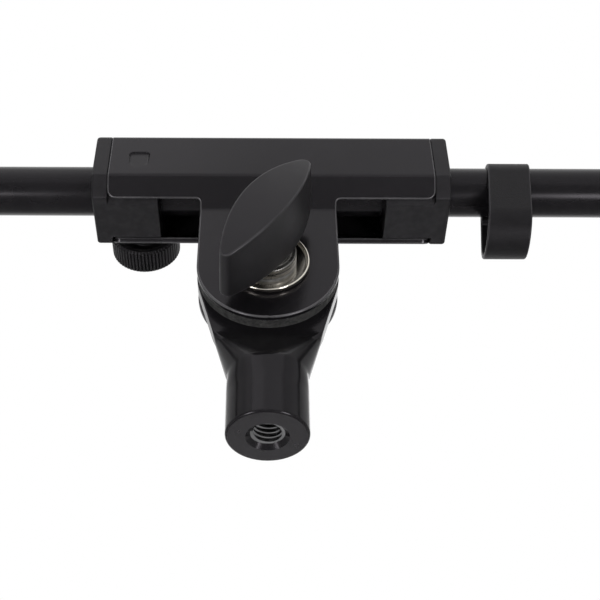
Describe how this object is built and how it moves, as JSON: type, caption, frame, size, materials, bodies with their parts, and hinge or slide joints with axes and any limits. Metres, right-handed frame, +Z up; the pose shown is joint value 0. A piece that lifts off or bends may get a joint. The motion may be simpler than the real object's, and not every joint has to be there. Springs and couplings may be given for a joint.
{
  "type": "boom arm swivel clamp",
  "caption": "Tilting clamp that holds a straight round boom tube on a threaded stand, with a wing knob, a knurled thumb screw and a cable clip.",
  "frame": {"origin": "centre of the stand socket's bottom face, on the stand thread's axis", "axes": "+Z up along the stand thread, +X along the boom towards the microphone end, -Y towards the wing knob"},
  "size_m": [0.49, 0.0619, 0.1107],
  "materials": {
    "black_casting": "semi-gloss black coat on a zinc casting",
    "black_coated_sheet": "smooth semi-gloss black powder coat on steel sheet",
    "black_tube": "satin black coat on steel tube",
    "black_plastic": "moulded, lightly grained",
    "knob_plastic": "moulded, satin",
    "clip_plastic": "moulded, fine grain",
    "friction_fibre": "pressed fibre, grainy",
    "bearing_bronze": "sintered bronze",
    "pad_brass": "turned brass",
    "zinc_steel": "zinc-plated, turned",
    "nickel_plate": "bright nickel on pressed steel",
    "grey_nylon": "plain nylon"
  },
  "bodies": {
    "socket": {"stand_socket": "black_casting", "pivot_bush": "bearing_bronze", "friction_ring_front": "friction_fibre", "friction_ring_rear": "friction_fibre"},
    "channel": {"channel": "black_coated_sheet", "end_cap_left": "black_plastic", "end_cap_right": "black_plastic", "pivot_bolt": "zinc_steel", "clinch_nut": "zinc_steel"},
    "cup": {"cup_washer": "nickel_plate", "thrust_washer": "grey_nylon"},
    "wing": {"wing_knob": "knob_plastic", "knob_hub": "zinc_steel"},
    "pad": {"pressure_pad": "pad_brass"},
    "thumb": {"thumb_knob": "knob_plastic", "clamp_screw": "zinc_steel"},
    "boom": {"boom_tube": "black_tube", "tube_plug": "black_plastic", "mic_stud": "zinc_steel"},
    "nut": {"lock_nut": "zinc_steel"},
    "clip": {"cable_clip": "clip_plastic"}
  },
  "joints": [
    {"name": "tilt", "type": "hinge", "parent": "socket", "child": "channel", "pos_m": [0, 0, 0.0586], "axis": [0, 1, 0], "range_deg": [-90, 90]},
    {"name": "clutch_travel", "type": "slide", "parent": "channel", "child": "cup", "axis": [0, -1, 0], "range_m": [0, 0.0025]},
    {"name": "wing_turn", "type": "hinge", "parent": "cup", "child": "wing", "pos_m": [0, -0.015, 0.0586], "axis": [0, -1, 0], "range_deg": [0, 720]},
    {"name": "pad_travel", "type": "slide", "parent": "channel", "child": "pad", "axis": [0, 1, 0], "range_m": [0, 0.002]},
    {"name": "thumb_turn", "type": "hinge", "parent": "pad", "child": "thumb", "pos_m": [-0.04185, 0.017, 0.0992], "axis": [0, 1, 0], "range_deg": [0, 720]},
    {"name": "boom_slide", "type": "slide", "parent": "channel", "child": "boom", "axis": [1, 0, 0], "range_m": [-0.0115, 0.085]},
    {"name": "nut_turn", "type": "hinge", "parent": "boom", "child": "nut", "pos_m": [0.313, 0, 0.0992], "axis": [1, 0, 0], "continuous": true},
    {"name": "clip_slide", "type": "slide", "parent": "boom", "child": "clip", "axis": [1, 0, 0], "range_m": [0, 0.2]}
  ],
  "couplings": [
    {"joint": "wing_turn", "follows": "clutch_travel", "rad_per_m": 5026.5},
    {"joint": "thumb_turn", "follows": "pad_travel", "rad_per_m": 6283.1}
  ]
}
